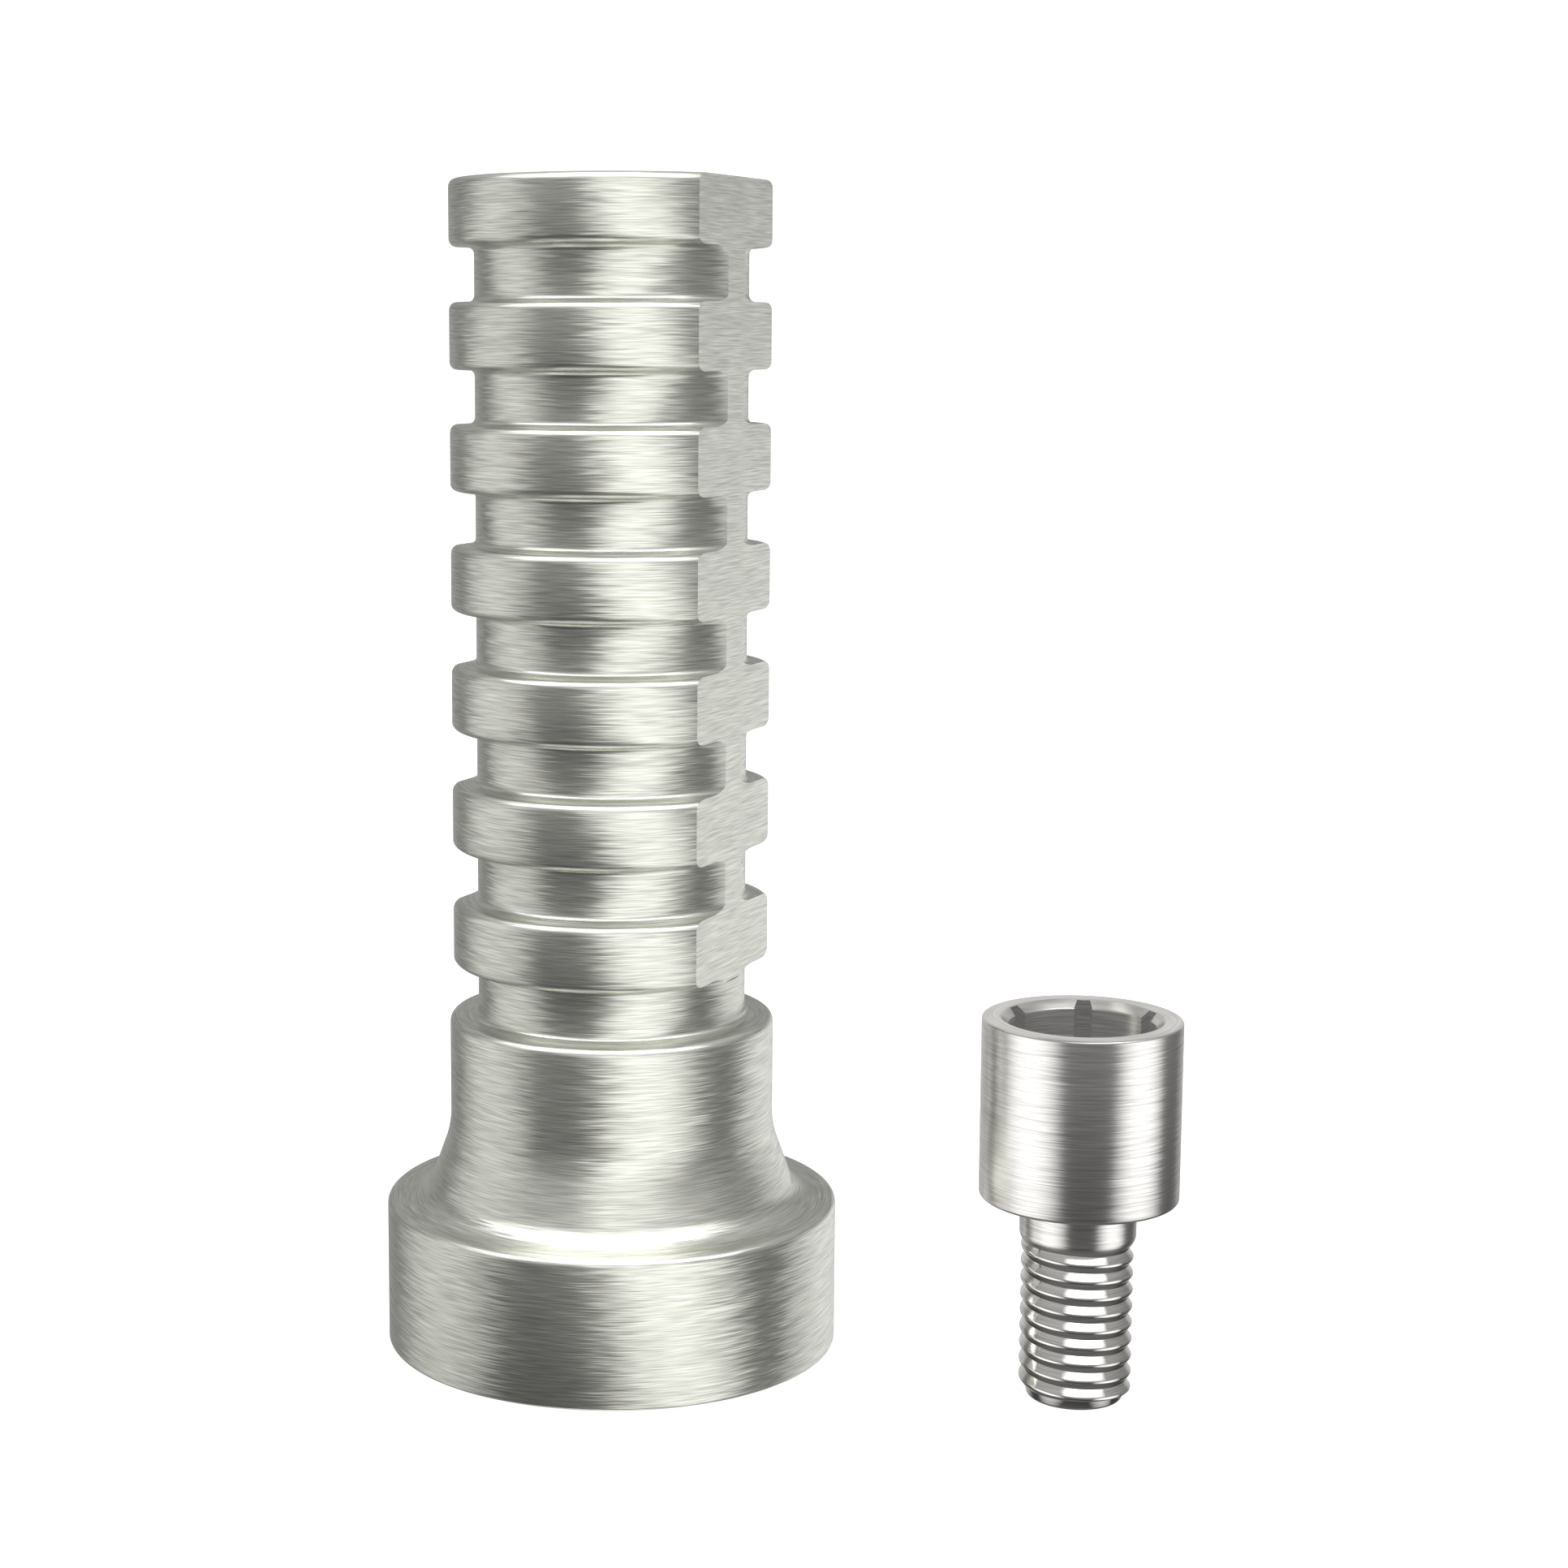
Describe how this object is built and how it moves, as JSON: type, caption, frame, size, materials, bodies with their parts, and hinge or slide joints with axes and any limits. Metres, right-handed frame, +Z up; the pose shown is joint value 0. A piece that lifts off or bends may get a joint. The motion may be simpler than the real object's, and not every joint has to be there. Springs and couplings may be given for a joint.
{
  "type": "dental abutment",
  "caption": "Ribbed cylindrical dental abutment with a flat down either side, a conical shoulder and a round foot, with its retaining screw stood beside it.",
  "frame": {"origin": "centre of the abutment's foot, on its underside", "axes": "+Z up the abutment's axis, out of the screw channel; -Y towards the viewer of the picture; the screw stands on the +X side"},
  "size_m": [0.0081, 0.0053, 0.0122],
  "materials": {
    "abutment_metal": "fine turned metal, satin",
    "screw_metal": "fine turned metal, satin"
  },
  "bodies": {
    "root": {"abutment": "abutment_metal", "retaining_screw": "screw_metal"}
  },
  "joints": []
}
